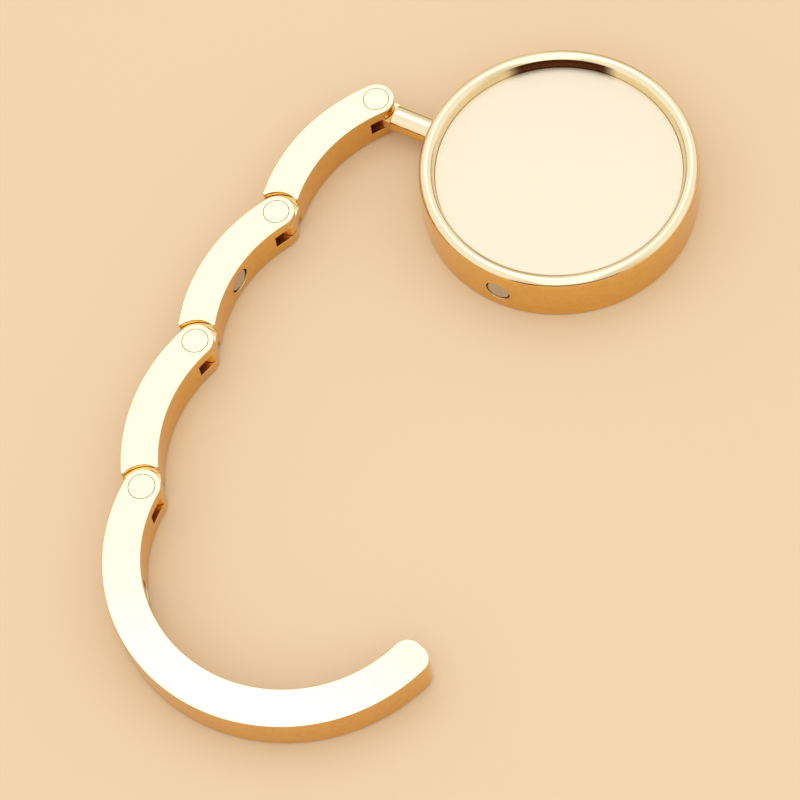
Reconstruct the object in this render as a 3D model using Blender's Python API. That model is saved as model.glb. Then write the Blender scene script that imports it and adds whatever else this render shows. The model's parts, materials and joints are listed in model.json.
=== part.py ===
"""Folding purse hook.

A round weighted disc stands on the table on a rubber pad. A stem slides out of its side and
swivels. Three bowed links and a hook hang on the stem as a chain of fork and tongue joints.
Pushed in and folded, the links and the hook close into a ring round the disc, where magnets
hold them. Pulled out, opened against its stops and swivelled, the arm reaches under the
table edge and the hook carries a bag.

Units are metres. The disc stands on the plane Z = 0 with its axis on Z, and the stem leaves
it along -X. The arm is shown pulled out and open, lying flat.
"""

import math

import bmesh
import bpy
from mathutils import Matrix, Vector

# Stack from the table up to the stem's axis
PAD_THICKNESS = 0.0007
SEAT_GAP = 0.00005
COVER_THICKNESS = 0.0003
STEM_FLOOR_GAP = 0.00035
STEM_RADIUS = 0.00225
COVER_BOTTOM = PAD_THICKNESS + SEAT_GAP
COVER_TOP = COVER_BOTTOM + COVER_THICKNESS
AXIS_HEIGHT = COVER_TOP + STEM_FLOOR_GAP + STEM_RADIUS

# Arm section: the arm clears the table and is centred on the stem's axis
ARM_LIFT = 0.0003
ARM_THICKNESS = 2 * (AXIS_HEIGHT - ARM_LIFT)
ARM_WIDTH = 0.0059
ARM_EDGE_ROUND = 0.00015
EAR_RADIUS = ARM_WIDTH / 2

# Magnets, and the pockets that hold them
MAGNET_RADIUS = 0.0019
MAGNET_LENGTH = 0.0018
MAGNET_EDGE = 0.0002
MAGNET_RECESS = 0.00015
MAGNET_RING_GAP = 0.00015
FIT_GAP = 0.0001
MAGNET_POCKET_DEPTH = MAGNET_RECESS + MAGNET_LENGTH + FIT_GAP
POCKET_END_WALL = 0.00115
DISC_MAGNET_RISE = 0.0005
LINK_MAGNET_SHIFT = 0.001
HOOK_MAGNET_TURN = math.radians(39)

# Stem bore and the channel behind it
BORE_GAP = 0.0001
BORE_RADIUS = STEM_RADIUS + BORE_GAP
CHANNEL_EASE = 0.0001
CHANNEL_RADIUS = BORE_RADIUS + CHANNEL_EASE
CHANNEL_ROOF = 0.00085
CHANNEL_LEAD = 0.0003

# Disc casting
DISC_RADIUS = 0.0225
CASE_LIFT = 0.0001
RIM_WIDTH = 0.00245
FOOT_ROUND = 0.0002
SKIRT_THICKNESS = 0.0018
WEB_THICKNESS = 0.001
BOSS_WALL = 0.0022
RIM_CROWN_RADIUS = RIM_WIDTH / 2
RECESS_RADIUS = DISC_RADIUS - RIM_WIDTH
REBATE_RADIUS = DISC_RADIUS - SKIRT_THICKNESS
WALL_THICKNESS = MAGNET_POCKET_DEPTH + POCKET_END_WALL
HOLLOW_RADIUS = DISC_RADIUS - WALL_THICKNESS
LEDGE_HEIGHT = COVER_TOP + SEAT_GAP
RECESS_FLOOR = AXIS_HEIGHT + CHANNEL_RADIUS + CHANNEL_ROOF
WEB_BOTTOM = RECESS_FLOOR - WEB_THICKNESS

# Face plate, cover and pad
FACE_PLATE_THICKNESS = 0.00045
FACE_PLATE_GAP = 0.0002
RECESS_DEPTH = 0.00205
COVER_GAP = 0.0001
PAD_MARGIN = 0.0007
PAD_EDGE_ROUND = 0.0002
SHEET_EDGE = 0.0001
FACE_PLATE_BOTTOM = RECESS_FLOOR + SEAT_GAP
FACE_PLATE_TOP = FACE_PLATE_BOTTOM + FACE_PLATE_THICKNESS
DISC_TOP = FACE_PLATE_TOP + RECESS_DEPTH
FACE_PLATE_RADIUS = RECESS_RADIUS - FACE_PLATE_GAP
COVER_RADIUS = REBATE_RADIUS - COVER_GAP
PAD_RADIUS = REBATE_RADIUS - PAD_MARGIN

# Fork and tongue joints
SLOT_GAP = 0.00015
SWING_GAP = 0.00015
TONGUE_THICKNESS = 0.0024
TONGUE_INSET = 0.00005
SHOULDER_GAP = 0.0008
LINK_POCKET_SPARE = 0.00085
HOOK_POCKET_SPARE = 0.00155
TONGUE_ROOT = 0.0015
SLOT_HEIGHT = TONGUE_THICKNESS + 2 * SLOT_GAP
TONGUE_RADIUS = EAR_RADIUS - TONGUE_INSET
SHOULDER_RADIUS = EAR_RADIUS + SHOULDER_GAP
TONGUE_SWING = TONGUE_RADIUS + SWING_GAP
STEM_TONGUE_SWING = STEM_RADIUS + SWING_GAP
LINK_POCKET_REACH = TONGUE_SWING + LINK_POCKET_SPARE
HOOK_POCKET_REACH = TONGUE_SWING + HOOK_POCKET_SPARE

# Headed pivot pins
PIN_HEAD_MARGIN = 0.00085
PIN_HEAD_DEPTH = 0.0012
PIN_SHANK_RADIUS = 0.0012
PIN_EDGE = 0.0001
PIN_HEAD_RADIUS = EAR_RADIUS - PIN_HEAD_MARGIN

# Links and hook, laid out as the closed ring round the disc
PIVOT_SPAN = 0.02625
LINK_BOW_EASE = 0.0024
LINK_FOLD_GAP = 0.00035
HOOK_FOLD_GAP = 0.0003
HOOK_TIP_GAP = 0.00255
HOOK_TIP_FLAT = 0.00055
LINK_BOW_RADIUS = DISC_RADIUS + EAR_RADIUS + LINK_BOW_EASE
LINK_ARC = 2 * math.asin(PIVOT_SPAN / 2 / LINK_BOW_RADIUS)
LINK_RISE = LINK_BOW_RADIUS * (1 - math.cos(LINK_ARC / 2))
HOOK_BOW_RADIUS = DISC_RADIUS + HOOK_FOLD_GAP + EAR_RADIUS
HOOK_TIP_ROUND = EAR_RADIUS - HOOK_TIP_FLAT
RING_CHORD_RADIUS = DISC_RADIUS + LINK_FOLD_GAP + EAR_RADIUS - LINK_RISE
RING_RADIUS = math.hypot(RING_CHORD_RADIUS, PIVOT_SPAN / 2)

# How far each joint opens from the closed ring to its stop
OPENING_TURNS = [math.radians(turn) for turn in (39.9, 50.9, 49.5, 39.5)]

# Stem: travel, shoulder, waist between its two lands, groove of the friction ring
STEM_TRAVEL = 0.0074
STEM_SHOULDER_GAP = 0.00045
STEM_PLATE_STEP = 0.00005
STEM_ROOT_EASE = 0.0001
WAIST_STEP = 0.00075
WAIST_GAP = 0.0001
STEM_STOP_GAP = 0.0002
STOP_PIN_RADIUS = 0.00075
STOP_PIN_INSET = 0.0054
STOP_PIN_RISE = 0.0015
INNER_LAND_LENGTH = 0.00405
STEM_END_CHAMFER = 0.0004
GROOVE_SETBACK = 0.0013
GROOVE_DEPTH = 0.00045
FRICTION_RING_WIDTH = 0.001
FRICTION_RING_GAP = 0.0001
FRICTION_RING_OPENING = math.radians(50)
CHANNEL_SPARE = 0.0005
PIVOT_OUT = RING_RADIUS + STEM_TRAVEL
STOP_PIN_DISTANCE = HOLLOW_RADIUS - STOP_PIN_INSET
STEM_SHOULDER = EAR_RADIUS + STEM_SHOULDER_GAP
WAIST_RADIUS = STEM_RADIUS - WAIST_STEP
WAIST_INNER_END = STOP_PIN_DISTANCE - STOP_PIN_RADIUS - STEM_STOP_GAP
WAIST_OUTER_END = STOP_PIN_DISTANCE + STOP_PIN_RADIUS + STEM_STOP_GAP + STEM_TRAVEL
STEM_INNER_END = WAIST_INNER_END - INNER_LAND_LENGTH
GROOVE_INNER_END = STEM_INNER_END + GROOVE_SETBACK
GROOVE_OUTER_END = GROOVE_INNER_END + FRICTION_RING_WIDTH + 2 * FRICTION_RING_GAP
GROOVE_RADIUS = STEM_RADIUS - GROOVE_DEPTH
CHANNEL_INNER_END = STEM_INNER_END - STEM_TRAVEL - CHANNEL_SPARE

# Tools that cut run past the surface by this much
OVERRUN = 0.001

# Facets of round shapes
DISC_STEPS = 72
ROUND_STEPS = 28
ARM_ARC_STEP = math.radians(4)
END_STEPS = 14
CROWN_STEPS = 10
SHARP_ANGLE = math.radians(30)
QUARTER = math.pi / 2


def add_material(name, colour, roughness, metallic):
    """A plain finish: base colour, roughness and metallic value."""
    material = bpy.data.materials.new(name)
    material.use_nodes = True
    shader = material.node_tree.nodes["Principled BSDF"]
    shader.inputs["Base Color"].default_value = (*colour, 1)
    shader.inputs["Roughness"].default_value = roughness
    shader.inputs["Metallic"].default_value = metallic
    return material


def add_object(name, mesh, material, parent=None, location=(0, 0, 0), turn=0.0):
    """A named piece, placed in its parent's frame and turned about Z."""
    piece = bpy.data.objects.new(name, mesh)
    bpy.context.scene.collection.objects.link(piece)
    mesh.materials.append(material)
    piece.parent = parent
    piece.location = location
    piece.rotation_euler.z = turn
    return piece


def add_frame(name, parent, location, turn):
    """An empty that carries pieces."""
    frame = bpy.data.objects.new(name, None)
    bpy.context.scene.collection.objects.link(frame)
    frame.parent = parent
    frame.location = location
    frame.rotation_euler.z = turn
    return frame


def closed_mesh(name, points, faces):
    """A closed mesh with its faces turned outwards and its round sides smooth."""
    mesh = bpy.data.meshes.new(name)
    mesh.from_pydata(points, [], faces)
    shape = bmesh.new()
    shape.from_mesh(mesh)
    bmesh.ops.recalc_face_normals(shape, faces=shape.faces)
    shape.to_mesh(mesh)
    shape.free()
    mesh.shade_smooth()
    mesh.set_sharp_from_angle(angle=SHARP_ANGLE)
    return mesh


def arc(radius, start, end, steps, centre=(0, 0)):
    """Points along a circle from one angle to another, both ends included."""
    points = []
    for index in range(steps + 1):
        angle = start + (end - start) * index / steps
        points.append((centre[0] + radius * math.cos(angle), centre[1] + radius * math.sin(angle)))
    return points


def prism(name, outline, low, high):
    """An outline in X and Y, extruded from one height to another."""
    count = len(outline)
    points = [(x, y, low) for x, y in outline] + [(x, y, high) for x, y in outline]
    faces = [list(range(count)), list(range(count, 2 * count))]
    for index in range(count):
        after = (index + 1) % count
        faces.append([index, after, after + count, index + count])
    return closed_mesh(name, points, faces)


def turned(name, profile, steps):
    """A profile of (radius, height) points that starts and ends on the axis, turned about Z."""
    points = [(0, 0, profile[0][1])]
    rings = []
    for radius, height in profile[1:-1]:
        rings.append(len(points))
        for index in range(steps):
            angle = 2 * math.pi * index / steps
            points.append((radius * math.cos(angle), radius * math.sin(angle), height))
    last = len(points)
    points.append((0, 0, profile[-1][1]))
    faces = []
    for index in range(steps):
        after = (index + 1) % steps
        faces.append([0, rings[0] + index, rings[0] + after])
        for lower, upper in zip(rings, rings[1:]):
            faces.append([lower + index, lower + after, upper + after, upper + index])
        faces.append([rings[-1] + index, last, rings[-1] + after])
    return closed_mesh(name, points, faces)


def rod(name, radius, low, high, edge=0.0, steps=ROUND_STEPS):
    """A round bar about Z, with its two edges broken where an edge size is given."""
    if edge:
        profile = [(0, low), (radius - edge, low), (radius, low + edge)]
        profile += [(radius, high - edge), (radius - edge, high), (0, high)]
    else:
        profile = [(0, low), (radius, low), (radius, high), (0, high)]
    return turned(name, profile, steps)


def lay_along_x(mesh):
    """Turns a mesh made about Z so that its axis lies along X."""
    mesh.transform(Matrix.Rotation(QUARTER, 4, "Y"))
    return mesh


def use_tool(piece, mesh, operation, location=(0, 0, 0), turn=0.0):
    """Cuts a piece with a hidden tool, or joins the tool's shape to it."""
    tool = add_object(mesh.name, mesh, piece.data.materials[0], piece, location, turn)
    tool.hide_render = True
    tool.display_type = "WIRE"
    step = piece.modifiers.new(mesh.name, "BOOLEAN")
    step.operation = operation
    step.solver = "EXACT"
    step.object = tool


def round_edges(piece, width):
    """Rounds the long edges of a piece before anything is cut from it."""
    step = piece.modifiers.new("edge round", "BEVEL")
    step.width = width
    step.segments = 2
    step.limit_method = "ANGLE"
    step.angle_limit = 2 * SHARP_ANGLE


def on_arc(bow_radius, run, side):
    """A point at a length along a bowed centreline and a distance to its inner side.

    The centreline leaves the origin along +X and bends to the left about (0, bow_radius).
    """
    angle = run / bow_radius
    reach = bow_radius - side
    return (reach * math.sin(angle), bow_radius - reach * math.cos(angle))


def polar(radius, angle):
    """A point at a distance and direction from the origin."""
    return Vector((radius * math.cos(angle), radius * math.sin(angle)))


def side_line(bow_radius, start, end, side):
    """Points along one side of a bowed piece, between two lengths of its centreline."""
    steps = max(2, math.ceil(abs(end - start) / bow_radius / ARM_ARC_STEP))
    return [on_arc(bow_radius, start + (end - start) * index / steps, side) for index in range(steps + 1)]


def pocket_outline(open_turn, folded_turn, stop_offset, reach):
    """The room that a tongue needs in a fork, between its open and folded directions.

    The flat along the open direction is the stop: the tongue's side comes to rest on it.
    """
    open_way = math.pi - open_turn
    folded_way = math.pi - folded_turn
    stop_face = open_way + QUARTER
    start = stop_face + math.acos(stop_offset / reach)
    end = folded_way - QUARTER
    while end < start:
        end += 2 * math.pi
    outline = arc(reach, start, end, END_STEPS)
    beyond = 2 * ARM_WIDTH
    outline.append(tuple(polar(reach, end) + polar(beyond, folded_way)))
    outline.append(tuple(polar(stop_offset, stop_face) + polar(beyond, open_way)))
    return outline


def cut_fork(piece, turns, stop_offset, reach):
    """Cuts the slot for the tongue and the stepped hole for the headed pin."""
    outline = pocket_outline(turns[0], turns[1], stop_offset, reach)
    slot = prism(piece.name + "_slot_tool", outline, -SLOT_HEIGHT / 2, SLOT_HEIGHT / 2)
    use_tool(piece, slot, "DIFFERENCE")
    half = ARM_THICKNESS / 2
    end = half + OVERRUN
    seat = half - PIN_HEAD_DEPTH - FIT_GAP
    bore = PIN_SHANK_RADIUS + FIT_GAP
    head = PIN_HEAD_RADIUS + FIT_GAP
    profile = [(0, -end), (bore, -end), (bore, seat), (head, seat), (head, end), (0, end)]
    use_tool(piece, turned(piece.name + "_pin_tool", profile, ROUND_STEPS), "DIFFERENCE")


def cut_magnet_pocket(piece, centre, face_distance, way, outwards):
    """Cuts a round blind pocket whose mouth faces along or against a direction in XY."""
    depth_end = face_distance - outwards * (MAGNET_POCKET_DEPTH - MAGNET_RECESS)
    mouth_end = face_distance + outwards * (MAGNET_RECESS + OVERRUN)
    low, high = sorted((depth_end, mouth_end))
    pocket = rod(piece.name + "_magnet_tool", MAGNET_RADIUS + MAGNET_RING_GAP, low, high)
    use_tool(piece, lay_along_x(pocket), "DIFFERENCE", centre, way)


def add_magnet(name, material, parent, centre, face_distance, way, outwards):
    """A plated disc magnet with its face at a distance from a centre, along a direction."""
    low, high = sorted((face_distance, face_distance - outwards * MAGNET_LENGTH))
    mesh = lay_along_x(rod(name, MAGNET_RADIUS, low, high, MAGNET_EDGE))
    return add_object(name, mesh, material, parent, centre, way)


def add_pivot_pin(name, material, parent):
    """A headed pin, flush with both faces of the fork that it is pressed into."""
    half = ARM_THICKNESS / 2
    seat = half - PIN_HEAD_DEPTH
    profile = [(0, -half), (PIN_SHANK_RADIUS - PIN_EDGE, -half), (PIN_SHANK_RADIUS, -half + PIN_EDGE)]
    profile += [(PIN_SHANK_RADIUS, seat), (PIN_HEAD_RADIUS, seat), (PIN_HEAD_RADIUS, half - PIN_EDGE)]
    profile += [(PIN_HEAD_RADIUS - PIN_EDGE, half), (0, half)]
    return add_object(name, turned(name, profile, ROUND_STEPS), material, parent)


def ring_layout():
    """Directions of the arm's pieces in the closed ring, and the disc magnets' places.

    The ring starts at the stem's pivot, which lies along +X of the arm's frame.
    """
    link_step = 2 * math.asin(PIVOT_SPAN / 2 / RING_RADIUS)
    across = RING_RADIUS ** 2 + HOOK_BOW_RADIUS ** 2 - PIVOT_SPAN ** 2
    last_step = math.acos(across / (2 * RING_RADIUS * HOOK_BOW_RADIUS))
    angles = [0, link_step, 2 * link_step, 2 * link_step + last_step]
    radii = [RING_RADIUS, RING_RADIUS, RING_RADIUS, HOOK_BOW_RADIUS]
    pivots = [polar(radius, angle) for radius, angle in zip(radii, angles)]
    way = 0.0
    folded_turns = []
    for before, after in zip(pivots, pivots[1:]):
        chord = math.atan2(after.y - before.y, after.x - before.x)
        folded_turns.append((chord - LINK_ARC / 2 - way) % (2 * math.pi))
        way = chord + LINK_ARC / 2
    folded_turns.append((angles[3] + QUARTER - way) % (2 * math.pi))
    hook_arc = 2 * math.pi - angles[3] - (EAR_RADIUS + HOOK_TIP_GAP) / RING_RADIUS
    magnet_angles = [1.5 * link_step, angles[3] + HOOK_MAGNET_TURN]
    return folded_turns, hook_arc, magnet_angles


FOLDED_TURNS, HOOK_ARC, DISC_MAGNET_ANGLES = ring_layout()
OPEN_TURNS = [folded - opening for folded, opening in zip(FOLDED_TURNS, OPENING_TURNS)]


def add_disc_case(material):
    """The die-cast disc: half-round rim, recess for the face plate, hollow underside and stem boss."""
    profile = [(0, WEB_BOTTOM), (HOLLOW_RADIUS, WEB_BOTTOM), (HOLLOW_RADIUS, LEDGE_HEIGHT)]
    profile += [(REBATE_RADIUS, LEDGE_HEIGHT), (REBATE_RADIUS, CASE_LIFT)]
    foot = (DISC_RADIUS - FOOT_ROUND, CASE_LIFT + FOOT_ROUND)
    profile += arc(FOOT_ROUND, -QUARTER, 0, 2, foot)
    crown = (DISC_RADIUS - RIM_CROWN_RADIUS, DISC_TOP - RIM_CROWN_RADIUS)
    profile += arc(RIM_CROWN_RADIUS, 0, 2 * QUARTER, CROWN_STEPS, crown)
    profile += [(RECESS_RADIUS, RECESS_FLOOR), (0, RECESS_FLOOR)]
    case = add_object("disc_case", turned("disc_case", profile, DISC_STEPS), material)

    boss_half = CHANNEL_RADIUS + BOSS_WALL
    boss_start = CHANNEL_INNER_END - BOSS_WALL
    boss_end = HOLLOW_RADIUS + WALL_THICKNESS / 2
    boss_outline = [(boss_start, -boss_half), (boss_end, -boss_half)]
    boss_outline += [(boss_end, boss_half), (boss_start, boss_half)]
    boss = prism("stem_boss", boss_outline, LEDGE_HEIGHT, WEB_BOTTOM + WEB_THICKNESS / 2)
    use_tool(case, boss, "UNION", turn=math.pi)

    channel_outline = arc(CHANNEL_RADIUS, -QUARTER, QUARTER, END_STEPS)
    depth = AXIS_HEIGHT - LEDGE_HEIGHT + OVERRUN
    channel_outline = [(-depth, -CHANNEL_RADIUS)] + channel_outline + [(-depth, CHANNEL_RADIUS)]
    channel_end = HOLLOW_RADIUS + CHANNEL_LEAD
    channel = prism("channel_tool", channel_outline, CHANNEL_INNER_END, channel_end)
    channel.transform(Matrix(((0, 0, 1, 0), (0, 1, 0, 0), (1, 0, 0, 0), (0, 0, 0, 1))))
    channel.flip_normals()
    use_tool(case, channel, "DIFFERENCE", (0, 0, AXIS_HEIGHT), math.pi)
    bore = lay_along_x(rod("bore_tool", BORE_RADIUS, HOLLOW_RADIUS - OVERRUN, DISC_RADIUS + OVERRUN))
    use_tool(case, bore, "DIFFERENCE", (0, 0, AXIS_HEIGHT), math.pi)

    pin_top = AXIS_HEIGHT + STOP_PIN_RISE + FIT_GAP
    hole = rod("stop_pin_tool", STOP_PIN_RADIUS + FIT_GAP, LEDGE_HEIGHT - OVERRUN, pin_top)
    use_tool(case, hole, "DIFFERENCE", stop_pin_place())

    for angle in DISC_MAGNET_ANGLES:
        centre = (0, 0, AXIS_HEIGHT + DISC_MAGNET_RISE)
        cut_magnet_pocket(case, centre, DISC_RADIUS - MAGNET_RECESS, math.pi + angle, 1)
    return case


def stop_pin_place():
    """The stop pin stands beside the stem's waist, on the stem's far side from the hook."""
    return (-STOP_PIN_DISTANCE, WAIST_RADIUS + WAIST_GAP + STOP_PIN_RADIUS, 0)


def add_disc_fittings(gold, steel, rubber):
    """Face plate, base cover, pad and stop pin."""
    plate = rod("face_plate", FACE_PLATE_RADIUS, FACE_PLATE_BOTTOM, FACE_PLATE_TOP, SHEET_EDGE, DISC_STEPS)
    add_object("face_plate", plate, gold)
    cover = rod("base_cover", COVER_RADIUS, COVER_BOTTOM, COVER_TOP, SHEET_EDGE, DISC_STEPS)
    add_object("base_cover", cover, steel)
    pad = rod("grip_pad", PAD_RADIUS, 0, PAD_THICKNESS, PAD_EDGE_ROUND, DISC_STEPS)
    add_object("grip_pad", pad, rubber)
    pin = rod("stem_stop_pin", STOP_PIN_RADIUS, LEDGE_HEIGHT, AXIS_HEIGHT + STOP_PIN_RISE, PIN_EDGE)
    add_object("stem_stop_pin", pin, steel, location=stop_pin_place())


def add_friction_ring(material, frame):
    """A split ring in the stem's groove: it drags in the channel and the stem turns in it."""
    half_opening = FRICTION_RING_OPENING / 2
    outer = arc(CHANNEL_RADIUS - FRICTION_RING_GAP, half_opening, 2 * math.pi - half_opening, ROUND_STEPS)
    inner = arc(GROOVE_RADIUS + FRICTION_RING_GAP, 2 * math.pi - half_opening, half_opening, ROUND_STEPS)
    half_width = FRICTION_RING_WIDTH / 2
    mesh = lay_along_x(prism("friction_ring", outer + inner, -half_width, half_width))
    middle = (GROOVE_INNER_END + GROOVE_OUTER_END) / 2
    return add_object("friction_ring", mesh, material, frame, (middle, 0, 0)), middle


def add_stem(material, ring, ring_place):
    """The turned stem with its flat tongue. Its origin is the first pivot."""
    places = [STEM_INNER_END, STEM_INNER_END + STEM_END_CHAMFER, GROOVE_INNER_END, GROOVE_INNER_END]
    radii = [STEM_RADIUS - STEM_END_CHAMFER, STEM_RADIUS, STEM_RADIUS, GROOVE_RADIUS]
    places += [GROOVE_OUTER_END, GROOVE_OUTER_END, WAIST_INNER_END, WAIST_INNER_END]
    radii += [GROOVE_RADIUS, STEM_RADIUS, STEM_RADIUS, WAIST_RADIUS]
    places += [WAIST_OUTER_END, WAIST_OUTER_END, PIVOT_OUT - STEM_SHOULDER]
    radii += [WAIST_RADIUS, STEM_RADIUS, STEM_RADIUS]
    profile = [(radius, place - PIVOT_OUT) for radius, place in zip(radii, places)]
    profile = [(0, profile[0][1])] + profile + [(0, profile[-1][1])]
    mesh = lay_along_x(turned("swivel_stem", profile, ROUND_STEPS))
    stem = add_object("swivel_stem", mesh, material, ring, (PIVOT_OUT - ring_place, 0, 0))

    root_half = math.sqrt(STEM_RADIUS ** 2 - (TONGUE_THICKNESS / 2) ** 2) - STEM_ROOT_EASE
    step_place = -STEM_SHOULDER - STEM_PLATE_STEP
    root_place = step_place - TONGUE_ROOT
    outline = [(root_place, -root_half), (step_place, -root_half), (step_place, -STEM_RADIUS)]
    outline += arc(STEM_RADIUS, -QUARTER, QUARTER, END_STEPS)
    outline += [(step_place, STEM_RADIUS), (step_place, root_half), (root_place, root_half)]
    tongue = prism("stem_tongue", outline, -TONGUE_THICKNESS / 2, TONGUE_THICKNESS / 2)
    use_tool(stem, tongue, "UNION")
    cut_tongue_hole(stem, (0, 0, 0))
    return stem


def cut_tongue_hole(piece, place):
    """The running hole for the next pivot pin's shank."""
    half = ARM_THICKNESS / 2
    hole = rod(piece.name + "_tongue_hole_tool", PIN_SHANK_RADIUS + FIT_GAP, -half, half)
    use_tool(piece, hole, "DIFFERENCE", place)


def link_end():
    """The far pivot of a link, in the link's own frame."""
    x, y = on_arc(LINK_BOW_RADIUS, LINK_ARC * LINK_BOW_RADIUS, 0)
    return (x, y, 0)


def add_link(name, material, parent, place, turn, turns, stop_offset, reach):
    """A bowed link: fork at its start, concave shoulder and tongue at its end."""
    run = LINK_ARC * LINK_BOW_RADIUS
    half = ARM_THICKNESS / 2
    outline = side_line(LINK_BOW_RADIUS, 0, run, -EAR_RADIUS)
    outline += side_line(LINK_BOW_RADIUS, run, 0, EAR_RADIUS)
    outline += arc(EAR_RADIUS, QUARTER, 3 * QUARTER, END_STEPS)[1:-1]
    link = add_object(name, prism(name, outline, -half, half), material, parent, place, turn)
    round_edges(link, ARM_EDGE_ROUND)

    shoulder = rod(name + "_shoulder_tool", SHOULDER_RADIUS, -half - OVERRUN, half + OVERRUN)
    use_tool(link, shoulder, "DIFFERENCE", link_end())
    root = run - SHOULDER_RADIUS - TONGUE_ROOT
    tongue_outline = side_line(LINK_BOW_RADIUS, root, run, -TONGUE_RADIUS)
    way = LINK_ARC
    tongue_outline += arc(TONGUE_RADIUS, way - QUARTER, way + QUARTER, END_STEPS, link_end())[1:-1]
    tongue_outline += side_line(LINK_BOW_RADIUS, run, root, TONGUE_RADIUS)
    tongue = prism(name + "_tongue", tongue_outline, -TONGUE_THICKNESS / 2, TONGUE_THICKNESS / 2)
    use_tool(link, tongue, "UNION")
    cut_fork(link, turns, stop_offset, reach)
    cut_tongue_hole(link, link_end())
    return link


def add_hook(name, material, parent, place, turn, turns):
    """The hook: fork at its start, a long arc round the bag's handle and a rounded tip."""
    run = HOOK_ARC * HOOK_BOW_RADIUS
    half = ARM_THICKNESS / 2
    straight = run - HOOK_TIP_ROUND
    outline = side_line(HOOK_BOW_RADIUS, 0, straight, -EAR_RADIUS)
    corner = arc(HOOK_TIP_ROUND, -QUARTER, 0, END_STEPS // 2, (straight, -HOOK_TIP_FLAT))[1:]
    corner += arc(HOOK_TIP_ROUND, 0, QUARTER, END_STEPS // 2, (straight, HOOK_TIP_FLAT))[:-1]
    outline += [on_arc(HOOK_BOW_RADIUS, along, side) for along, side in corner]
    outline += side_line(HOOK_BOW_RADIUS, straight, 0, EAR_RADIUS)
    outline += arc(EAR_RADIUS, QUARTER, 3 * QUARTER, END_STEPS)[1:-1]
    hook = add_object(name, prism(name, outline, -half, half), material, parent, place, turn)
    round_edges(hook, ARM_EDGE_ROUND)
    cut_fork(hook, turns, TONGUE_SWING, HOOK_POCKET_REACH)
    return hook


def add_arm_magnet(name, material, piece, bow_radius, angle):
    """A magnet in the inner side of a bowed piece, and its pocket."""
    centre = (0, bow_radius, 0)
    face = bow_radius - EAR_RADIUS + MAGNET_RECESS
    cut_magnet_pocket(piece, centre, face, angle - QUARTER, -1)
    add_magnet(name, material, piece, centre, face, angle - QUARTER, -1)


def build():
    """Builds the whole purse hook."""
    for old in list(bpy.data.objects):
        bpy.data.objects.remove(old, do_unlink=True)
    gold = add_material("polished gold plating", (0.83, 0.62, 0.26), 0.12, 1)
    face_gold = add_material("pale gold face", (0.86, 0.68, 0.36), 0.2, 1)
    nickel = add_material("nickel plated magnet", (0.42, 0.38, 0.33), 0.3, 1)
    steel = add_material("steel", (0.5, 0.5, 0.5), 0.35, 1)
    rubber = add_material("black rubber", (0.02, 0.02, 0.02), 0.8, 0)
    nylon = add_material("white nylon", (0.75, 0.74, 0.7), 0.5, 0)

    case = add_disc_case(gold)
    add_disc_fittings(face_gold, steel, rubber)
    for name, angle in zip(("disc_magnet_front", "disc_magnet_rear"), DISC_MAGNET_ANGLES):
        centre = (0, 0, AXIS_HEIGHT + DISC_MAGNET_RISE)
        add_magnet(name, nickel, case, centre, DISC_RADIUS - MAGNET_RECESS, math.pi + angle, 1)

    arm_frame = add_frame("stem_axis", case, (0, 0, AXIS_HEIGHT), math.pi)
    friction_ring, ring_place = add_friction_ring(nylon, arm_frame)
    stem = add_stem(gold, friction_ring, ring_place)

    names = ("first_link", "second_link", "third_link")
    offsets = (STEM_TONGUE_SWING, TONGUE_SWING, TONGUE_SWING)
    reaches = (STEM_TONGUE_SWING, LINK_POCKET_REACH, LINK_POCKET_REACH)
    parent = stem
    place = (0, 0, 0)
    way = 0.0
    links = []
    for index, name in enumerate(names):
        turns = (OPEN_TURNS[index], FOLDED_TURNS[index])
        turn = way + OPEN_TURNS[index]
        link = add_link(name, gold, parent, place, turn, turns, offsets[index], reaches[index])
        add_pivot_pin(name + "_pin", gold, link)
        links.append(link)
        parent = link
        place = link_end()
        way = LINK_ARC
    hook = add_hook("hook_arm", gold, parent, place, way + OPEN_TURNS[3], (OPEN_TURNS[3], FOLDED_TURNS[3]))
    add_pivot_pin("hook_arm_pin", gold, hook)
    link_magnet_turn = LINK_ARC / 2 - LINK_MAGNET_SHIFT / LINK_BOW_RADIUS
    add_arm_magnet("second_link_magnet", nickel, links[1], LINK_BOW_RADIUS, link_magnet_turn)
    add_arm_magnet("hook_magnet", nickel, hook, HOOK_BOW_RADIUS, HOOK_MAGNET_TURN)


build()
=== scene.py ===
"""Looks of the folding purse hook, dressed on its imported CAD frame.

Metres, +Z up. The disc stands on the floor at Z = 0 with its axis on Z, the stem leaves it
along -X and the open arm runs along -Y. Every piece that can be seen is a numpy surface at its
place in the mesh; the stop pin and the friction ring, which are hidden, keep their CAD surfaces.
The sections follow the order in which the hook is put together.
"""

import json
import math

import bmesh
import bpy
import numpy as np
from mathutils import Matrix


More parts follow.
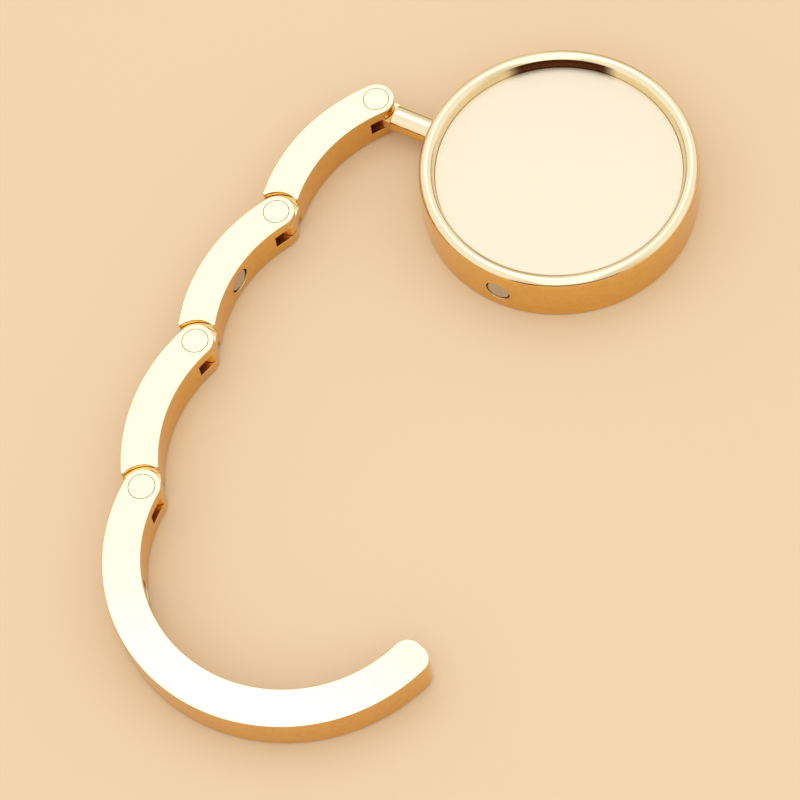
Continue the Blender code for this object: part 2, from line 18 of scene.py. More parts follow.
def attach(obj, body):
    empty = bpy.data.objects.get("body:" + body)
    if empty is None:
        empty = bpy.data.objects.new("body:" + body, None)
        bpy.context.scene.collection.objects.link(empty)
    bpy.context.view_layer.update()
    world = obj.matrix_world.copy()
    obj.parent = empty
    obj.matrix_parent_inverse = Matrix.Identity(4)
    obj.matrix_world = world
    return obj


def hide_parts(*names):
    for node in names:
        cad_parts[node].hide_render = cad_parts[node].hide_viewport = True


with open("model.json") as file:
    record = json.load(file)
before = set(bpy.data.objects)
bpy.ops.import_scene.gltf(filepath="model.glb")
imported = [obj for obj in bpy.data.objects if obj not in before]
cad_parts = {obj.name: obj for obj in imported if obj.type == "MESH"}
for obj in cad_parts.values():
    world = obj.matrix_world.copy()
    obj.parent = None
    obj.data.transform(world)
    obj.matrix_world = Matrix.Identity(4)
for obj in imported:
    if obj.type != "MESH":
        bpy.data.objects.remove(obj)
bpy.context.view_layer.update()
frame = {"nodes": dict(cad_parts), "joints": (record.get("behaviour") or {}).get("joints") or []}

# Disc case
# A zinc die casting: a round case with a crowned rim, a recess for the face plate and a hollow
# underside. It is polished and gold plated; the recess's wall keeps its rough as-cast skin, with
# a painted shade in brown on its far side.
DISC_RADIUS = 0.0225
RECESS_RADIUS = 0.02005
RECESS_FOOT_RADIUS = 0.0199
RECESS_FLOOR = 0.00695
DISC_TOP = 0.0095
CASE_LIFT = 0.0001
FOOT_ROUND = 0.0002
REBATE_RADIUS = 0.0207
HOLLOW_RADIUS = 0.0193
LEDGE_HEIGHT = 0.0011
WEB_BOTTOM = 0.00595
CROWN_RADIUS = (DISC_RADIUS - RECESS_RADIUS) / 2
CROWN_MIDDLE = DISC_RADIUS - CROWN_RADIUS
DISC_STEPS = 360
AXIS_HEIGHT = 0.00365
BORE_RADIUS = 0.00235
BORE_LENGTH = 0.01
BORE_OVERLAP = 0.003
FOOT_STEPS = 6
CROWN_STEPS = 44
CROWN_INNER_END = math.pi - 0.2
WALL_SKIN_TILT = math.radians(52)
CASE_BREAK = 0.00005
ROUND_STEPS = 96
EDGE_STEPS = 5
QUARTER = math.pi / 2
SHARP_ANGLE = math.radians(28)
MERGE_REACH = 2e-6
RIPPLE_WIDTH = 0.0009
HAZE_WIDTH = 0.004
GRAIN_WIDTH = 0.0004
GRAIN_DEPTH = 3e-5
GRAIN_ROUGHNESS = 0.28
TONE_SHARES = {"From Min": 0.35, "From Max": 0.65}
HAZE_SHARES = {"From Min": 0.4, "From Max": 0.7}
# How flat a face must be to take the painted highlight tone and the smoother finish.
BUFFED_AND_SHEEN_TILTS = {"From Min": 0.3, "From Max": 0.8}
FLAT_RIPPLE_SHARE = 0.1
MIRROR = {"roughness": 0.05, "haze": 0.04, "ripple_depth": 1.5e-6}
# Pale gold of flat faces: a painted highlight.
PALE_SHEEN_FLATS = "#FCEBC6"
# Direction of the painted shade on the recess's far wall, and where it fades.
WALL_SHADE_WAY = math.radians(115)
SHADE_FADE_START = math.radians(19)
SHADE_FADE_END = math.radians(28)


def linear(code):
    """An sRGB hex code as linear red, green, blue and an alpha of one."""
    share = np.array([int(code[place:place + 2], 16) for place in (1, 3, 5)]) / 255
    channels = np.where(share <= 0.04045, share / 12.92, ((share + 0.055) / 1.055) ** 2.4)
    return (*channels.tolist(), 1.0)


def add_node(tree, kind, inputs=None, **settings):
    """A node with its settings; an input is given a value, or linked where it is a socket."""
    node = tree.nodes.new("ShaderNode" + kind)
    for name, value in settings.items():
        setattr(node, name, value)
    for name, value in (inputs or {}).items():
        if isinstance(value, bpy.types.NodeSocket):
            tree.links.new(value, node.inputs[name])
        else:
            node.inputs[name].default_value = value
    return node


def new_material(name):
    """An empty Principled material, its node tree and its shader."""
    material = bpy.data.materials.new(name)
    material.use_nodes = True
    return material, material.node_tree, material.node_tree.nodes["Principled BSDF"]


def gold_plating(name, sheen_flats, sides, roughness, haze, ripple_depth):
    """Bright gold plating over a polished zinc casting. Flat faces are smooth and painted a paler gold,
    a painted highlight; upright sides are faintly rippled and painted a deeper gold, a painted shade.

    The two tones of the sides mix over ripples 0.9 mm wide. Haze comes in patches of 4 mm.
    """
    material, tree, shader = new_material(name)
    place = add_node(tree, "TexCoord")
    upright = add_node(tree, "SeparateXYZ", {"Vector": place.outputs["Normal"]}).outputs["Z"]
    upright = add_node(tree, "Math", {0: upright}, operation="ABSOLUTE").outputs[0]
    limits = {"Value": upright, **BUFFED_AND_SHEEN_TILTS}
    buffed_and_sheen = add_node(tree, "MapRange", limits, interpolation_type="SMOOTHSTEP").outputs["Result"]
    pattern = {"Vector": place.outputs["Object"], "Scale": 1 / RIPPLE_WIDTH, "Detail": 3.0}
    ripples = add_node(tree, "TexNoise", pattern).outputs["Fac"]
    share = add_node(tree, "MapRange", {"Value": ripples, **TONE_SHARES}).outputs["Result"]
    mix = {"Factor": share, "A": linear(sides[0]), "B": linear(sides[1])}
    tint = add_node(tree, "Mix", mix, data_type="RGBA").outputs["Result"]
    # Flat faces take the pale painted highlight; the sides keep the deeper painted shade.
    mix = {"Factor": buffed_and_sheen, "A": tint, "B": linear(sheen_flats)}
    tint = add_node(tree, "Mix", mix, data_type="RGBA").outputs["Result"]
    pattern["Scale"] = 1 / HAZE_WIDTH
    patches = add_node(tree, "TexNoise", pattern).outputs["Fac"]
    limits = {"Value": patches, "To Min": roughness, "To Max": roughness + haze, **HAZE_SHARES}
    rough = add_node(tree, "MapRange", limits)
    limits = {"Value": buffed_and_sheen, "To Min": 1.0, "To Max": FLAT_RIPPLE_SHARE}
    strength = add_node(tree, "MapRange", limits).outputs["Result"]
    bump = add_node(tree, "Bump", {"Height": ripples, "Distance": ripple_depth, "Strength": strength})
    tree.links.new(tint, shader.inputs["Base Color"])
    tree.links.new(rough.outputs["Result"], shader.inputs["Roughness"])
    tree.links.new(bump.outputs["Normal"], shader.inputs["Normal"])
    shader.inputs["Metallic"].default_value = 1.0
    return material


def cast_skin(name, tones, shade_way=None, shade_tones=None):
    """The rough skin that zinc takes from its mould, under thin gold, which the buff doesn't
    reach: two tones that mix over grains 0.4 mm wide.

    Around shade_way, seen from the disc's axis, brown tones take over: painted shade on the wall's far
    side.
    """
    material, tree, shader = new_material(name)
    place = add_node(tree, "TexCoord").outputs["Object"]
    pattern = {"Vector": place, "Scale": 1 / GRAIN_WIDTH, "Detail": 3.0}
    grains = add_node(tree, "TexNoise", pattern).outputs["Fac"]
    share = add_node(tree, "MapRange", {"Value": grains, **TONE_SHARES}).outputs["Result"]
    mix = {"Factor": share, "A": linear(tones[0]), "B": linear(tones[1])}
    tint = add_node(tree, "Mix", mix, data_type="RGBA").outputs["Result"]
    if shade_way is not None:
        flat = add_node(tree, "VectorMath", {0: place, 1: (1.0, 1.0, 0.0)}, operation="MULTIPLY")
        flat = add_node(tree, "VectorMath", {0: flat.outputs["Vector"]}, operation="NORMALIZE")
        way = (math.cos(shade_way), math.sin(shade_way), 0.0)
        pair = {0: flat.outputs["Vector"], 1: way}
        facing = add_node(tree, "VectorMath", pair, operation="DOT_PRODUCT")
        limits = {"Value": facing.outputs["Value"], "From Min": math.cos(SHADE_FADE_END)}
        limits["From Max"] = math.cos(SHADE_FADE_START)
        shade_share = add_node(tree, "MapRange", limits, interpolation_type="SMOOTHSTEP").outputs["Result"]
        mix = {"Factor": share, "A": linear(shade_tones[0]), "B": linear(shade_tones[1])}
        brown = add_node(tree, "Mix", mix, data_type="RGBA").outputs["Result"]
        mix = {"Factor": shade_share, "A": tint, "B": brown}
        tint = add_node(tree, "Mix", mix, data_type="RGBA").outputs["Result"]
    bump = add_node(tree, "Bump", {"Height": grains, "Distance": GRAIN_DEPTH})
    tree.links.new(tint, shader.inputs["Base Color"])
    tree.links.new(bump.outputs["Normal"], shader.inputs["Normal"])
    shader.inputs["Roughness"].default_value = GRAIN_ROUGHNESS
    shader.inputs["Metallic"].default_value = 1.0
    return material


def arc(centre, radius, start, end, steps):
    """Points along a circle from one direction to another, both ends included."""
    turn = np.linspace(start, end, steps + 1)
    return np.column_stack((centre[0] + radius * np.cos(turn), centre[1] + radius * np.sin(turn)))


def new_piece(name, points):
    """A piece from a grid of points: quads between rows, each row a closed loop.

    The first and last rows are closed by one flat face each.
    """
    rows, columns = points.shape[:2]
    row, column = np.meshgrid(np.arange(rows - 1), np.arange(columns), indexing="ij")
    low, high = row * columns, (row + 1) * columns
    after = (column + 1) % columns
    quads = np.stack((low + column, low + after, high + after, high + column), -1).reshape(-1, 4)
    ends = [list(range(columns)), list(range((rows - 1) * columns, rows * columns))]
    mesh = bpy.data.meshes.new(name)
    mesh.from_pydata(points.reshape(-1, 3).tolist(), [], quads.tolist() + ends)
    piece = bpy.data.objects.new(name, mesh)
    bpy.context.scene.collection.objects.link(piece)
    clean(piece)
    return piece


def clean(piece):
    """Merges doubled points, turns the faces outwards and shades the round sides smooth."""
    shape = bmesh.new()
    shape.from_mesh(piece.data)
    bmesh.ops.remove_doubles(shape, verts=shape.verts, dist=MERGE_REACH)
    bmesh.ops.recalc_face_normals(shape, faces=shape.faces)
    shape.to_mesh(piece.data)
    shape.free()
    piece.data.shade_smooth()
    piece.data.set_sharp_from_angle(angle=SHARP_ANGLE)


def turned(name, profile, steps):
    """A profile of (radius, height) turned about Z: x is the radius times the cosine of the
    turn, y is the radius times its sine, and z is the height."""
    turn = np.arange(steps) * 2 * math.pi / steps
    around = np.stack((np.cos(turn), np.sin(turn), np.ones(steps)), -1)
    reach = np.column_stack((profile[:, 0], profile[:, 0], profile[:, 1]))
    return new_piece(name, reach[:, None, :] * around[None, :, :])


def rod(radius, low, high, steps=ROUND_STEPS):
    """A plain round bar about Z, as a tool for a hole."""
    return turned("rod", np.array([(radius, low), (radius, high)]), steps)


def moved(piece, place=(0, 0, 0), turn=0.0, lie_down=False):
    """Lays a piece made about Z along X if asked, turns it about Z and moves it to its place."""
    matrix = Matrix.Translation(place) @ Matrix.Rotation(turn, 4, "Z")
    if lie_down:
        matrix = matrix @ Matrix.Rotation(QUARTER, 4, "Y")
    piece.data.transform(matrix)
    return piece


def use_tool(piece, tool, operation="DIFFERENCE"):
    """Cuts a tool's shape from a piece, or joins it, for good, and removes the tool."""
    step = piece.modifiers.new("tool", "BOOLEAN")
    step.operation = operation
    step.solver = "EXACT"
    step.object = tool
    graph = bpy.context.evaluated_depsgraph_get()
    mesh = bpy.data.meshes.new_from_object(piece.evaluated_get(graph))
    piece.modifiers.clear()
    piece.data = mesh
    bpy.data.objects.remove(tool)
    clean(piece)


def dress(piece, material, body, slot, *nodes, break_width=0.0):
    """Gives a piece its finish, its broken edges and its body, and hides the CAD nodes that it stands
    for.
    """
    piece.data.materials.clear()
    piece.data.materials.append(material)
    if break_width:
        step = piece.modifiers.new("broken edges", "BEVEL")
        step.width = break_width
        step.segments = 2
        step.limit_method = "ANGLE"
        step.angle_limit = SHARP_ANGLE
        step.use_clamp_overlap = False
        step.harden_normals = False
    even = piece.modifiers.new("even shading", "WEIGHTED_NORMAL")
    even.keep_sharp = True
    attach(piece, body)
    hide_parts(*nodes)


def face_middles(piece):
    """The x, y and z of the middle of each face of a piece."""
    middles = np.empty(3 * len(piece.data.polygons))
    piece.data.polygons.foreach_get("center", middles)
    return middles.reshape(-1, 3).T


def leave_skin(piece, skin, chosen):
    """Leaves the chosen faces of a dressed piece with the skin of its casting."""
    finish = np.empty(len(piece.data.polygons), np.int32)
    piece.data.polygons.foreach_get("material_index", finish)
    finish[chosen] = len(piece.data.materials)
    piece.data.materials.append(skin)
    piece.data.polygons.foreach_set("material_index", finish)


MAGNET_HOLE_RADIUS = 0.00205
MAGNET_RECESS = 0.00015
MAGNET_LENGTH = 0.0018
MAGNET_POCKET_END = 0.0019
DISC_POCKET_LENGTH = 0.005
DISC_MAGNET_HEIGHT = 0.00415
DISC_MAGNET_TURNS = (math.radians(270.725), math.radians(40.85))

# The pale flats are a painted highlight and the deeper sides a painted shade.
gold = gold_plating("polished_gold_plating", PALE_SHEEN_FLATS, ("#ECC16E", "#E6B869"), **MIRROR)
# The brown tones are painted shade on the far side of the recess's wall.
wall_tones, wall_shade_tones = ("#FFF1CC", "#FFE4B0"), ("#5E3218", "#45240F")
wall_skin_and_shade = cast_skin("gold_on_recess_wall_with_painted_shade", wall_tones, WALL_SHADE_WAY, wall_shade_tones)

profile = np.vstack((
    [(HOLLOW_RADIUS, WEB_BOTTOM), (HOLLOW_RADIUS, LEDGE_HEIGHT), (REBATE_RADIUS, LEDGE_HEIGHT)],
    [(REBATE_RADIUS, CASE_LIFT)],
    arc((DISC_RADIUS - FOOT_ROUND, CASE_LIFT + FOOT_ROUND), FOOT_ROUND, -QUARTER, 0, FOOT_STEPS),
    arc((CROWN_MIDDLE, DISC_TOP - CROWN_RADIUS), CROWN_RADIUS, 0, CROWN_INNER_END, CROWN_STEPS),
    [(RECESS_FOOT_RADIUS, RECESS_FLOOR)],
))
case = turned("disc_casting", profile, DISC_STEPS)
bore_start = (-HOLLOW_RADIUS + BORE_OVERLAP, 0, AXIS_HEIGHT)
use_tool(case, moved(rod(BORE_RADIUS, 0.0, BORE_LENGTH), bore_start, math.pi, True))
for turn in DISC_MAGNET_TURNS:
    reach = DISC_RADIUS - MAGNET_RECESS - MAGNET_POCKET_END
    start = (reach * math.cos(turn), reach * math.sin(turn), DISC_MAGNET_HEIGHT)
    use_tool(case, moved(rod(MAGNET_HOLE_RADIUS, 0.0, DISC_POCKET_LENGTH), start, turn, True))
dress(case, gold, "disc", "gold", "disc_case", break_width=CASE_BREAK)
middle_x, middle_y, middle_z = face_middles(case)
inside = np.hypot(middle_x, middle_y) < CROWN_MIDDLE - CROWN_RADIUS * math.sin(WALL_SKIN_TILT)
leave_skin(case, wall_skin_and_shade, inside & (middle_z > RECESS_FLOOR))

# Face plate
# A thin plate glued on the recess's floor, with a thin joint round its edge. It is paler than
# the casting, with a satin gold finish.
FACE_PLATE_RADIUS = 0.01992
FACE_PLATE_BOTTOM = 0.007
FACE_PLATE_TOP = 0.00745
SHEET_EDGE = 0.0001
SATIN = {"roughness": 0.4, "haze": 0.01, "ripple_depth": 2e-6}


def round_rod(radius, low, high, edge):
    """Profile of a round bar whose two rims are rounded."""
    lower = arc((radius - edge, low + edge), edge, -QUARTER, 0, EDGE_STEPS)
    upper = arc((radius - edge, high - edge), edge, 0, QUARTER, EDGE_STEPS)
    return np.vstack((lower, upper))


satin_gold = gold_plating("satin_pale_gold", "#EDE1CA", ("#EDE1CA", "#EBDEC7"), **SATIN)
profile = round_rod(FACE_PLATE_RADIUS, FACE_PLATE_BOTTOM, FACE_PLATE_TOP, SHEET_EDGE)
plate = turned("face_plate_sheet", profile, DISC_STEPS)
dress(plate, satin_gold, "disc", "gold_face", "face_plate")

# Disc magnets
# Neodymium discs with nickel plating, glued into the two pockets in the disc's side.
MAGNET_RADIUS = 0.0019
MAGNET_EDGE = 0.0002
NICKEL_GRAIN_WIDTH = 0.00025
FINE_DEPTH = 1e-5


def nickel_plating():
    """Nickel over a sintered magnet: grey, a little dull, with a fine grain of 0.25 mm."""
    material, tree, shader = new_material("nickel_plating")
    place = add_node(tree, "TexCoord").outputs["Object"]
    pattern = {"Vector": place, "Scale": 1 / NICKEL_GRAIN_WIDTH, "Detail": 5.0}
    grain = add_node(tree, "TexNoise", pattern).outputs["Fac"]
    mix = {"Factor": grain, "A": linear("#B9B1A2"), "B": linear("#D5CDBE")}
    tint = add_node(tree, "Mix", mix, data_type="RGBA").outputs["Result"]
    rough = add_node(tree, "MapRange", {"Value": grain, "To Min": 0.28, "To Max": 0.5})
    bump = add_node(tree, "Bump", {"Height": grain, "Distance": FINE_DEPTH})
    tree.links.new(tint, shader.inputs["Base Color"])
    tree.links.new(rough.outputs["Result"], shader.inputs["Roughness"])
    tree.links.new(bump.outputs["Normal"], shader.inputs["Normal"])
    shader.inputs["Metallic"].default_value = 1.0
    return material


nickel = nickel_plating()


def add_magnet(node, body, place, turn):
    """A magnet with rounded rims, its face at a place and its axis along a direction."""
    profile = round_rod(MAGNET_RADIUS, 0, MAGNET_LENGTH, MAGNET_EDGE)
    magnet = turned(node + "_slug", profile, ROUND_STEPS)
    dress(moved(magnet, place, turn, True), nickel, body, "nickel", node)


for node, turn in zip(("disc_magnet_front", "disc_magnet_rear"), DISC_MAGNET_TURNS):
    reach = DISC_RADIUS - MAGNET_RECESS - MAGNET_LENGTH
    place = (reach * math.cos(turn), reach * math.sin(turn), DISC_MAGNET_HEIGHT)
    add_magnet(node, "disc", place, turn)

# Stop pin
# A steel cross pin pressed into the boss beside the stem's waist, hidden in the closed case.
SCRATCH_LENGTH = 0.004
SCRATCH_SPACING = 0.0002


def ground_steel():
    """Plain steel, ground: grey, with fine scratches along X, 4 mm long and 0.2 mm apart."""
    material, tree, shader = new_material("ground_steel")
    place = add_node(tree, "TexCoord").outputs["Object"]
    stretch = (1 / SCRATCH_LENGTH, 1 / SCRATCH_SPACING, 1 / SCRATCH_SPACING)
    along = add_node(tree, "Mapping", {"Vector": place, "Scale": stretch}).outputs["Vector"]
    streaks = add_node(tree, "TexNoise", {"Vector": along, "Scale": 1.0, "Detail": 3.0}).outputs["Fac"]
    rough = add_node(tree, "MapRange", {"Value": streaks, "To Min": 0.3, "To Max": 0.5})
    bump = add_node(tree, "Bump", {"Height": streaks, "Distance": FINE_DEPTH})
    tree.links.new(rough.outputs["Result"], shader.inputs["Roughness"])
    tree.links.new(bump.outputs["Normal"], shader.inputs["Normal"])
    shader.inputs["Base Color"].default_value = linear("#BDBEC0")
    shader.inputs["Metallic"].default_value = 1.0
    return material


steel = ground_steel()
stop_pin = frame["nodes"]["stem_stop_pin"]
stop_pin.data.materials.clear()
stop_pin.data.materials.append(steel)

# Friction ring
# A split nylon ring in the stem's groove, whose drag holds the stem where it is pushed.
NYLON_SKIN_WIDTH = 0.0002


def moulded_nylon():
    """Natural nylon, moulded: milky, half gloss, with a fine skin of 0.2 mm."""
    material, tree, shader = new_material("moulded_nylon")
    place = add_node(tree, "TexCoord").outputs["Object"]
    skin = add_node(tree, "TexNoise", {"Vector": place, "Scale": 1 / NYLON_SKIN_WIDTH, "Detail": 2.0})
    bump = add_node(tree, "Bump", {"Height": skin.outputs["Fac"], "Distance": FINE_DEPTH})
    tree.links.new(bump.outputs["Normal"], shader.inputs["Normal"])
    shader.inputs["Base Color"].default_value = linear("#E2DFD4")
    shader.inputs["Roughness"].default_value = 0.4
    return material


ring = frame["nodes"]["friction_ring"]
ring.data.materials.clear()
ring.data.materials.append(moulded_nylon())

# Stem
# A turned and plated rod with a waist, a groove and a flat tongue at its end. It slides and
# turns in the disc's bore, and the first link turns on its tongue.
STEM_RADIUS = 0.00225
STEM_GROOVE_RADIUS = 0.0018
STEM_WAIST_RADIUS = 0.0015
STEM_INNER_END = 0.0089
STEM_GROOVE = (0.0102, 0.0114)
STEM_WAIST = (0.01295, 0.02225)
STEM_SHOULDER = 0.0034
STEM_EDGE = 0.00015
FINE_EDGE_STEPS = 4
STEM_TONGUE_RADIUS = 0.0019
STEM_TONGUE_CORNER = 0.0001
STEM_TONGUE_OVERLAP = 0.00005
STEM_ROOT_OVERLAP = 0.0015
STEM_ROOT_RADIUS = 0.0018
STEM_ROOT_THICKNESS = 0.0022
TONGUE_THICKNESS = 0.0024
TONGUE_EDGE = 0.00012
SHANK_HOLE_RADIUS = 0.0013
SHANK_HOLE_STEPS = 72
TONGUE_DRILL_REACH = 0.002
ARC_STEP = 0.0002
ARC_TURN_STEP = 0.07
SLAB_EDGE_ROWS = 7
PIVOT_STEPS = 128
JOINTS = {joint["name"]: joint for joint in frame["joints"]}
PIVOT_JOINTS = [JOINTS[name] for name in ("first_pivot", "second_pivot", "third_pivot", "hook_pivot")]
PIVOTS = [np.array(joint["pos_m"]) for joint in PIVOT_JOINTS]


def slab(name, arcs, thickness, edge):
    """A flat piece with rounded rims, whose outline is a run of tangent arcs.

    Each arc is (centre, radius, start, end), and a negative radius bends inwards. A point is
    centre + |radius - inset| * direction, at the rim's inset and height for its row.
    """
    parts = []
    for centre, radius, start, end in arcs:
        sweep = abs(end - start)
        steps = max(1, math.ceil(sweep * abs(radius) / ARC_STEP), math.ceil(sweep / ARC_TURN_STEP))
        turn = start + (end - start) * np.arange(steps) / steps
        parts.append(np.column_stack((np.tile((*centre, radius), (steps, 1)), turn)))
    centre_x, centre_y, radius, turn = np.vstack(parts).T
    half = thickness / 2
    rim = np.linspace(0, QUARTER, SLAB_EDGE_ROWS)
    inset = edge * (1 - np.sin(rim))
    height = half - edge * (1 - np.cos(rim))
    inset = np.concatenate((inset, inset[::-1]))
    height = np.concatenate((-height, height[::-1]))
    reach = np.abs(radius[None, :] - inset[:, None])
    x = centre_x + reach * np.cos(turn)
    y = centre_y + reach * np.sin(turn)
    z = np.broadcast_to(height[:, None], x.shape)
    return new_piece(name, np.stack((x, y, z), -1))


def straight_tongue(reach, radius):
    """Outline of a straight tongue: a half circle about the origin and a square inner end."""
    corner = STEM_TONGUE_CORNER
    inner = (-reach + corner, radius - corner)
    return [
        ((0, 0), radius, -QUARTER, QUARTER),
        ((0, 0), radius, QUARTER, QUARTER),
        (inner, corner, QUARTER, math.pi),
        (inner, corner, math.pi, math.pi),
        ((inner[0], -inner[1]), corner, math.pi, 3 * QUARTER),
        ((inner[0], -inner[1]), corner, 3 * QUARTER, 3 * QUARTER),
    ]


def tongue_hole():
    """The hole of a pin's shank through a tongue, as a tool."""
    return rod(SHANK_HOLE_RADIUS, -TONGUE_DRILL_REACH, TONGUE_DRILL_REACH, SHANK_HOLE_STEPS)


stem_out = -PIVOTS[0][0]
shoulder = stem_out - STEM_SHOULDER
profile = np.vstack((
    arc((STEM_RADIUS - STEM_EDGE, STEM_INNER_END + STEM_EDGE), STEM_EDGE, -QUARTER, 0, FINE_EDGE_STEPS),
    [(STEM_RADIUS, STEM_GROOVE[0]), (STEM_GROOVE_RADIUS, STEM_GROOVE[0])],
    [(STEM_GROOVE_RADIUS, STEM_GROOVE[1]), (STEM_RADIUS, STEM_GROOVE[1])],
    [(STEM_RADIUS, STEM_WAIST[0]), (STEM_WAIST_RADIUS, STEM_WAIST[0])],
    [(STEM_WAIST_RADIUS, STEM_WAIST[1]), (STEM_RADIUS, STEM_WAIST[1])],
    arc((STEM_RADIUS - STEM_EDGE, shoulder - STEM_EDGE), STEM_EDGE, 0, QUARTER, EDGE_STEPS),
))
stem = moved(turned("stem_rod", profile, PIVOT_STEPS), (0, 0, AXIS_HEIGHT), math.pi, True)
arcs = straight_tongue(STEM_SHOULDER + STEM_TONGUE_OVERLAP, STEM_TONGUE_RADIUS)
tongue = slab("tongue", arcs, TONGUE_THICKNESS, TONGUE_EDGE)
arcs = straight_tongue(STEM_SHOULDER + STEM_ROOT_OVERLAP, STEM_ROOT_RADIUS)
use_tool(tongue, slab("root", arcs, STEM_ROOT_THICKNESS, TONGUE_EDGE), "UNION")
use_tool(tongue, tongue_hole())
use_tool(stem, moved(tongue, PIVOTS[0], math.pi), "UNION")
dress(stem, gold, "stem", "gold", "swivel_stem")

# Links
# Three bowed zinc castings. Each has a fork at its start, and at its end a shoulder turned
# about the next pivot and a tongue that fills the next fork.
EAR_RADIUS = 0.00295
ARM_THICKNESS = 0.0067
ARM_EDGE_ROUND = 0.00012
HORN_ROUND = 0.0003
PIVOT_SPAN = 0.02625
LINK_BOW_RADIUS = 0.02785
LINK_ARC = 2 * math.asin(PIVOT_SPAN / 2 / LINK_BOW_RADIUS)
SHOULDER_RADIUS = 0.00375
TONGUE_RADIUS = 0.0029
TONGUE_END = 0.0015
TONGUE_CORNER = 0.00025
TONGUE_SWING = 0.00305
STEM_TONGUE_SWING = 0.0024
SLOT_HEIGHT = 0.0027
LINK_POCKET_REACH = 0.0039
HOOK_POCKET_REACH = 0.0046
TONGUE_ROOT = 0.0015
PIN_SEAT_RADIUS = 0.00208
PIN_SEAT_DEPTH = 0.0013
OPEN_TURNS = np.radians((52.2246, -46.6508, -44.4695, -37.7603))
SWINGS = [math.radians(joint["range_deg"][1]) for joint in PIVOT_JOINTS]
MOUTH_BREAK = 0.00002
PIN_DRILL_OVERRUN = 0.001
SLOT_STEPS = 60
SLOT_OVERRUN = 0.012
CAST_SKIN_REACH = 0.0001
ARM_BREAK = 0.00006
ARM_POCKET_LENGTH = 0.004
LINK_MAGNET_SHIFT = 0.001
LINK_MAGNET_WAY = LINK_ARC / 2 - LINK_MAGNET_SHIFT / LINK_BOW_RADIUS - QUARTER
LINKS = (("link_1", "first_link"), ("link_2", "second_link"), ("link_3", "third_link"))


def fork_slot(open_turn, swing, stop_offset, reach):
    """The room that a tongue needs between its open and folded directions, as a cutting slab.

    Its open side is the stop: a flat that stands off the pivot by stop_offset.
    """
    open_way = math.pi - open_turn
    folded_way = open_way - swing
    stop_face = open_way + QUARTER
    start = stop_face + math.acos(min(1.0, stop_offset / reach))
    end = folded_way - QUARTER
    end += 2 * math.pi * math.ceil((start - end) / (2 * math.pi))
    round_part = arc((0, 0), reach, start, end, SLOT_STEPS)
    last = round_part[-1] + SLOT_OVERRUN * np.array((math.cos(folded_way), math.sin(folded_way)))
    first = stop_offset * np.array((math.cos(stop_face), math.sin(stop_face)))
    first = first + SLOT_OVERRUN * np.array((math.cos(open_way), math.sin(open_way)))
    outline = np.vstack((round_part, last, first))
    heights = (-SLOT_HEIGHT / 2, SLOT_HEIGHT / 2)
    rows = [np.column_stack((outline, np.full(len(outline), height))) for height in heights]
    return new_piece("slot", np.stack(rows))


def in_slot(piece, pivot, reach):
    """Which faces of a fork line its slot: near the pivot, no corner beyond the slot's height."""
    x, y, _ = face_middles(piece)
    points = np.empty(3 * len(piece.data.vertices))
    piece.data.vertices.foreach_get("co", points)
    corners = np.empty(len(piece.data.loops), np.int32)
    starts = np.empty(len(piece.data.polygons), np.int32)
    piece.data.loops.foreach_get("vertex_index", corners)
    piece.data.polygons.foreach_get("loop_start", starts)
    rise = np.maximum.reduceat(np.abs(points[2::3] - pivot[2])[corners], starts)
    near = np.hypot(x - pivot[0], y - pivot[1]) < max(reach, EAR_RADIUS) + CAST_SKIN_REACH
    return near & (rise < SLOT_HEIGHT / 2 + CAST_SKIN_REACH)


def at_radius(piece, pivot, radius, toward=None):
    """Which faces of a piece stand at a radius from a pivot, all round it or only within 60
    degrees of the way toward a point."""
    x, y = face_middles(piece)[:2] - np.array(pivot[:2])[:, None]
    ring = np.abs(np.hypot(x, y) - radius) < 2 * MOUTH_BREAK
    if toward is None:
        return ring
    aim = way_to(pivot[:2], toward[:2])
    return ring & (x * math.cos(aim) + y * math.sin(aim) > radius / 2)


def pin_hole():
    """The stepped hole of a headed pin, whose mouth is broken by a small cone."""
    half = ARM_THICKNESS / 2
    mouth = PIN_SEAT_RADIUS + MOUTH_BREAK
    profile = [(SHANK_HOLE_RADIUS, -half - PIN_DRILL_OVERRUN), (SHANK_HOLE_RADIUS, half - PIN_SEAT_DEPTH)]
    profile += [(PIN_SEAT_RADIUS, half - PIN_SEAT_DEPTH), (PIN_SEAT_RADIUS, half - MOUTH_BREAK)]
    profile += [(mouth, half), (mouth + MOUTH_BREAK, half + MOUTH_BREAK)]
    return turned("pin_hole", np.array(profile), PIVOT_STEPS)


def meet(centre_a, reach_a, centre_b, reach_b, side):
    """Where two circles meet, left of the line from a to b for side 1 and right of it for -1.

    The cosine of the turn at a is (reach a squared + span squared - reach b squared) over twice
    reach a times span.
    """
    across = np.subtract(centre_b, centre_a)
    span = math.hypot(*across)
    turn = side * math.acos((reach_a ** 2 + span ** 2 - reach_b ** 2) / (2 * reach_a * span))
    way = math.atan2(across[1], across[0]) + turn
    return np.array((centre_a[0] + reach_a * math.cos(way), centre_a[1] + reach_a * math.sin(way)))


def way_to(start, end):
    """Direction from one point to another."""
    return math.atan2(end[1] - start[1], end[0] - start[0])


